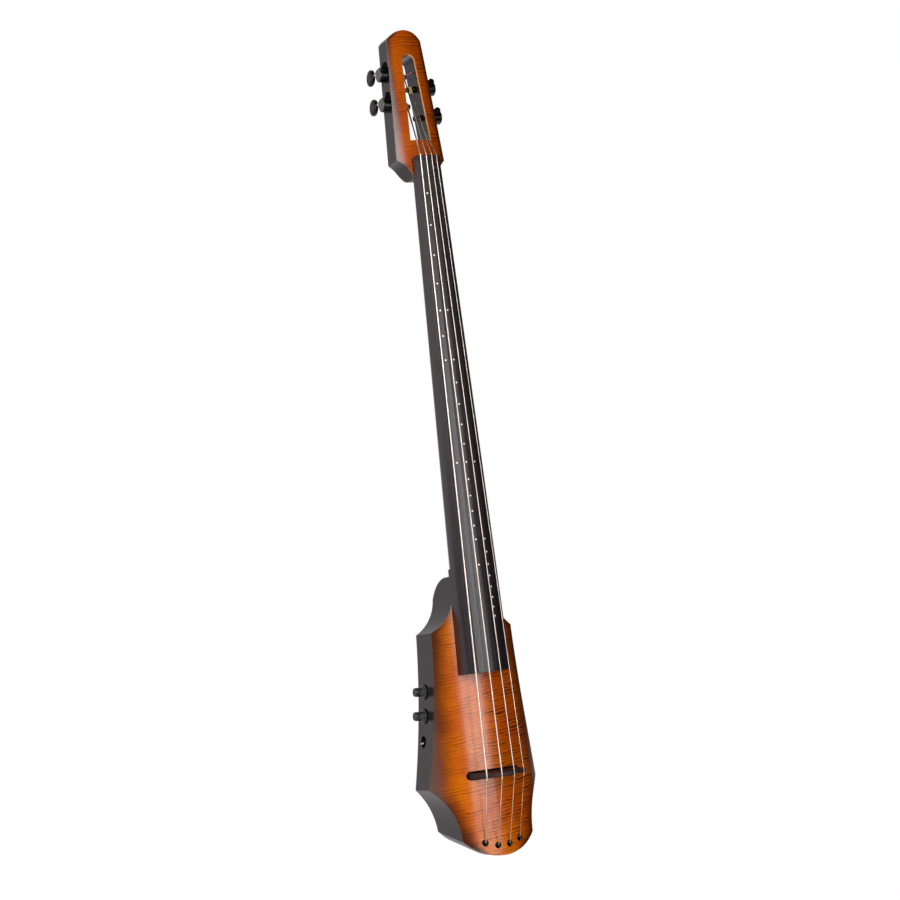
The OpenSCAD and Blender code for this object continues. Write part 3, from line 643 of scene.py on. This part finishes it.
THICK = {"e": 2.7 * MM, "a": 2.1 * MM, "d": 1.6 * MM, "g": 1.25 * MM}
BEND_RADIUS = 0.003
CREST_Z = -0.040
NUT_Z = 1.0298
TAIL_BEND_Z = {"e": -0.1507, "a": -0.157, "d": -0.157, "g": -0.1507}

# How far along its run from nut to post each string's silk starts.
SILK_START = {"e": 0.62, "a": 0.86, "d": 0.93, "g": 0.8}

# The string holes run back and up through the body.
HOLE_TILT = math.radians(9.4)
HOLE_BACK = Vector((0, math.cos(HOLE_TILT), math.sin(HOLE_TILT)))
HOLE_SIDE = Vector((1, 0, 0))
HOLE_OTHER = HOLE_BACK.cross(HOLE_SIDE)


def bend_at(node, z, reach=0.0016):
    """Centre of a string's bend near height z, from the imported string."""
    low, high = box_of([v.co for v in NODES[node].data.vertices if abs(v.co.z - z) < reach])
    return (low + high) / 2


def post_contact(string):
    """Where a string meets the front of its winding."""
    low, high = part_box("coil_" + string)
    return Vector(((low.x + high.x) / 2, low.y - THICK[string] * 0.4, (low.z + high.z) / 2))


def rounded_path(corners, steps=6):
    """Straight runs between corners, each inner corner turned as a small arc."""
    path = [corners[0]]
    for before, corner, after in zip(corners, corners[1:], corners[2:]):
        start = corner + (before - corner).normalized() * BEND_RADIUS
        end = corner + (after - corner).normalized() * BEND_RADIUS
        for k in range(steps + 1):
            t = k / steps
            path.append(start * (1 - t) ** 2 + corner * 2 * t * (1 - t) + end * t ** 2)
    path.append(corners[-1])
    return path


def add_run(name, points, radii, material, stands_for=()):
    """A length of string that stays with the instrument."""
    shape = bmesh.new()
    sweep(shape, points, radii, 14)
    add_piece(name, shape, material, ROOT, "string_steel", stands_for)


def make_string(string):
    """One string: speaking length, wrapped afterlength, silk end at the post and ball end."""
    node = "string_" + string
    thick = THICK[string]
    tail = bend_at(node, TAIL_BEND_Z[string], 0.0022)
    crest = bend_at(node, CREST_Z)
    nut = bend_at(node, NUT_Z)
    post = post_contact(string)
    ball = tail + HOLE_BACK * (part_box(node)[1].y - tail.y) / HOLE_BACK.y
    silk_from = nut + (post - nut) * SILK_START[string]
    below_crest = crest + (tail - crest) * 0.06
    speaking = rounded_path([below_crest, crest, nut, silk_from])
    add_run("speaking_" + string, speaking, [thick / 2] * len(speaking), WOUND, (node,))
    afterlength = rounded_path([ball - HOLE_BACK * 0.004, tail, below_crest])
    add_run("afterlength_" + string, afterlength, [thick * 0.42] * len(afterlength), WRAP)
    silk_end = [silk_from - (post - nut) * 0.002, silk_from, post]
    silk_radii = [thick * 0.5, thick * 0.56, thick * 0.56]
    add_run("silk_end_" + string, silk_end, silk_radii, SILKS[string])
    profile = [(0.2, 1.35), (0, 2.0), (0.35, 2.6), (3.0, 2.7), (5.6, 2.6), (6.0, 2.0), (5.8, 1.35)]
    place = local_frame(ball - HOLE_BACK * 0.0066, HOLE_BACK, HOLE_SIDE, HOLE_OTHER)
    shape = bmesh.new()
    lathe(shape, place, profile, 32, closed=True)
    add_piece("ball_end_" + string, shape, BRASS, ROOT, "brass")


def loose_parts(shape):
    """Positions of the vertices of each part of a mesh that hangs together."""
    seen = set()
    parts = []
    for seed in shape.verts:
        if seed in seen:
            continue
        part, waiting = [], [seed]
        seen.add(seed)
        while waiting:
            vertex = waiting.pop()
            part.append(vertex.co.copy())
            for edge in vertex.link_edges:
                neighbour = edge.other_vert(vertex)
                if neighbour not in seen:
                    seen.add(neighbour)
                    waiting.append(neighbour)
        parts.append(part)
    return parts


def make_ferrules():
    """A polished lipped ring for each string hole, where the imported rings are."""
    packed = bmesh.new()
    packed.from_mesh(NODES["string_ferrules"].data)
    bmesh.ops.remove_doubles(packed, verts=packed.verts, dist=WELD)
    rings = loose_parts(packed)
    packed.free()
    profile = [(10.6, 2.15), (10.6, 5.5), (0.9, 5.5), (0.45, 5.42), (0.12, 5.1), (0.0, 4.7),
               (0.05, 4.25), (0.3, 3.85), (0.8, 3.3), (1.5, 2.5), (2.2, 2.15)]
    shape = bmesh.new()
    for ring in rings:
        low, high = box_of(ring)
        middle = (low + high) / 2
        front = min(point.dot(HOLE_BACK) for point in ring)
        mouth = middle + HOLE_BACK * (front - middle.dot(HOLE_BACK))
        place = local_frame(mouth, HOLE_BACK, HOLE_SIDE, HOLE_OTHER)
        lathe(shape, place, profile, 56, closed=True)
    add_piece("ferrule_rings", shape, GLOSS, ROOT, "black_chrome", ("string_ferrules",))


# ---------------------------------------------------------------- tuners

# In a tuner's local frame, in millimetres: its worm and key turn about the line along y at
# WORM_OUT and WORM_UP, and the key's paddle is centred KEY_BACK along it.
WORM_OUT = 7.0
WORM_UP = 10
KEY_BACK = 48
POST_RADIUS = 4.05
TURNS = 3


def tuner_frame(string):
    return frame_of("post_spin_" + string, WORM_OUT)


def winding_middle(string, place):
    """How far along the post the middle of its winding is, in millimetres."""
    low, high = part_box("coil_" + string)
    wall = place(0, 0, 0)
    out = (place(1, 0, 0) - wall).normalized()
    return ((low + high) / 2 - wall).dot(out) / MM


def make_winding(string):
    """Turns of the string's silk end on its post; the d string's silk lies thicker."""
    place = tuner_frame(string)
    thick = THICK[string] / MM
    if string == "d":
        thick *= 1.3
    middle = winding_middle(string, place)
    radius = POST_RADIUS + thick / 2
    steps = TURNS * 28
    points = []
    for k in range(steps + 1):
        t = k / steps
        angle = -math.pi / 2 + 2 * math.pi * TURNS * t
        x = middle + (t - 0.5) * (TURNS - 1) * thick
        points.append(place(x, radius * math.sin(angle), radius * math.cos(angle)))
    shape = bmesh.new()
    sweep(shape, points, [thick * 0.49 * MM] * len(points), 12)
    add_piece("winding_" + string, shape, SILKS[string], "post_turn_" + string, "string_steel",
              ("coil_" + string,))


def make_loose_end(string):
    """Loose end of the silk, which crosses the slot from the winding and curls up, thicker
    near its tip."""
    place = tuner_frame(string)
    middle = winding_middle(string, place)
    run = [(-0.5, -5.2, 1.0), (-4, -6.4, 1.2), (-7, -7, 2), (-10, -7.4, 3.6), (-13, -7.8, 5.4),
           (-15, -8, 6.6), (-16.5, -8, 7.5)]
    radii = [radius * MM for radius in (0.7, 0.7, 0.7, 0.8, 1.3, 1.5, 0.6)]
    shape = bmesh.new()
    sweep(shape, [place(middle + x, y, z) for x, y, z in run], radii, 10)
    add_piece("loose_silk_" + string, shape, SILKS[string], "post_turn_" + string, "string_steel")


def make_post_collar(string):
    """Thicker root of a string post, where it leaves the side of the slot."""
    profile = [(-23.4, 4.02), (-23.4, 6.2), (-26.3, 6.2), (-26.9, 5.9), (-27.2, 5.3),
               (-27.2, 4.02)]
    shape = bmesh.new()
    lathe(shape, tuner_frame(string), profile, 56, closed=True)
    add_piece("post_collar_" + string, shape, GLOSS, "post_turn_" + string, "black_chrome")


def make_key_paddle(string):
    """Oval paddle, domed on both sides, with a shallow dish in the middle."""
    place = tuner_frame(string)
    half_up, half_back, half_thick = 15.0, 14.1, 4.48
    dome, dish_depth, dish_reach = 1.2, 0.75, 0.7
    steps = 64
    across = [0.0, 0.2, 0.4, 0.58, 0.72, 0.82, 0.89, 0.93, 0.96, 0.98, 0.992, 0.998]
    shape = bmesh.new()

    def half(u):
        """Half the paddle's thickness, u of the way from its middle to its rim."""
        dish = dish_depth * max(0.0, 1 - (u / dish_reach) ** 2) ** 2
        return (half_thick - dome * u * u - dish) * math.sqrt(max(0.0, 1 - u ** 14))

    def ring(u, face):
        x = WORM_OUT + face * half(u)
        if u == 0:
            return [shape.verts.new(place(x, KEY_BACK, WORM_UP))]
        angles = [2 * math.pi * k / steps for k in range(steps)]
        return [shape.verts.new(place(x, KEY_BACK + half_back * u * math.sin(angle),
                                      WORM_UP + half_up * u * math.cos(angle)))
                for angle in angles]

    rings = [ring(u, 1) for u in across]
    rings.append(ring(1.0, 0))
    rings += [ring(u, -1) for u in reversed(across)]
    join_rings(shape, rings)
    add_piece("key_paddle_" + string, shape, CHROME, "key_turn_" + string, "black_chrome",
              ("key_" + string,))


def make_key_stem(string):
    """Turned stem between the key's paddle and its bearing."""
    place = tuner_frame(string)
    profile = [(-17, 2.55), (-17, 3.2), (-16.6, 3.6), (-14.8, 3.6), (-14.4, 3.1), (-13.9, 2.9),
               (-12.5, 2.9), (-11, 3.2), (-9.5, 3.75), (-8, 3.9), (-6.5, 3.4), (-6.5, 0)]

    def along_worm(along, out, up):
        return place(WORM_OUT + out, KEY_BACK + along, WORM_UP + up)

    shape = bmesh.new()
    lathe(shape, along_worm, profile, 40)
    add_piece("key_stem_" + string, shape, CHROME, "key_turn_" + string, "black_chrome")


# ---------------------------------------------------------------- controls

def make_knob(name):
    """Skirted knob with a ribbed grip, and the index mark along it."""
    place = frame_of(name + "_turn", 0.0)
    body = name + "_control"
    profile = [(0.9, 3.1), (0.9, 12.9), (1.1, 13.3), (1.6, 13.5), (2.3, 13.45), (2.9, 13.0),
               (3.2, 12.2), (3.3, 9.4), (3.7, 8.6), (4.4, 8.05), (5.0, 7.85), (5.3, 7.8, 0),
               (5.7, 7.78, 1), (15.2, 7.72, 1), (15.8, 7.7, 0), (17.2, 7.62), (18.2, 7.3),
               (18.9, 6.7), (19.15, 5.9), (19.2, 5.2), (19.05, 4.7), (18.9, 3.6), (18.85, 0)]
    shape = bmesh.new()
    lathe(shape, place, profile, 192, ribs=24, rib_depth=0.42)
    add_piece(name + "_knob_grip", shape, KNOB, body, "knob_black", (name + "_knob",))
    mark_run = [(19.0, 6.6), (17.9, 7.45), (15.8, 7.72), (5.6, 7.82)]
    mark_section = [(-0.4, -0.3), (-0.4, 0.1), (-0.25, 0.16), (0.25, 0.16), (0.4, 0.1),
                    (0.4, -0.3)]
    shape = bmesh.new()
    rings = [[shape.verts.new(place(along + lift * 0.1, radius + lift, aside))
              for aside, lift in mark_section] for along, radius in mark_run]
    join_rings(shape, rings)
    shape.faces.new(rings[0])
    shape.faces.new(rings[-1])
    add_piece(name + "_knob_mark", shape, MARK, body, "knob_black")


def make_lever():
    """Bat lever of the selector, with its waist and round tip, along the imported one."""
    tip_radius = 1.7
    pivot = Vector(JOINTS["switch_throw"]["pos_m"])
    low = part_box("switch_lever")[0]
    tip = Vector((low.x + tip_radius * MM, pivot.y, low.z + tip_radius * MM))
    run = tip - pivot
    length = run.length / MM
    along = run.normalized()
    side = Vector((0, 1, 0))
    profile = [(-2.0, 0), (-1.8, 0.85), (-1.2, 1.6), (0, 2.0), (1.2, 1.6), (1.7, 1.0),
               (2.4, 0.95), (6.0, 1.05), (10.0, 1.3), (length - 1.6, 1.45)]
    for angle in (math.radians(degrees) for degrees in range(-50, 90, 20)):
        profile.append((length + tip_radius * math.sin(angle), tip_radius * math.cos(angle)))
    profile.append((length + tip_radius, 0))
    shape = bmesh.new()
    lathe(shape, local_frame(pivot, along, side, along.cross(side)), profile, 32)
    add_piece("bat_lever", shape, NICKEL, "lever", "steel", ("switch_lever",))


# ---------------------------------------------------------------- the whole instrument

dress_nodes()
for name in STRINGS:
    make_string(name)
    make_winding(name)
    make_key_paddle(name)
    make_key_stem(name)
    make_post_collar(name)
    soften("cap_" + name, 0.0004, SMOKE, 3)
    soften("housing_" + name, 0.0006, CHROME, 3)
for name in ("volume", "tone"):
    make_knob(name)
make_loose_end("a")
make_ferrules()
make_lever()
soften("body_core", 0.0009, BLACK)
soften("body_top", 0.0009, TOP, 3, edge_material=RIM_HIGHLIGHT)
soften("neck", 0.0009, BLACK)
soften("head_plate", 0.0009, HEAD, 3, edge_material=RIM_HIGHLIGHT)
soften("bridge", 0.0007, EBONY, 3)
soften("fingerboard", 0.0010, BOARD, 3)
soften("nut", 0.0004, EBONY)
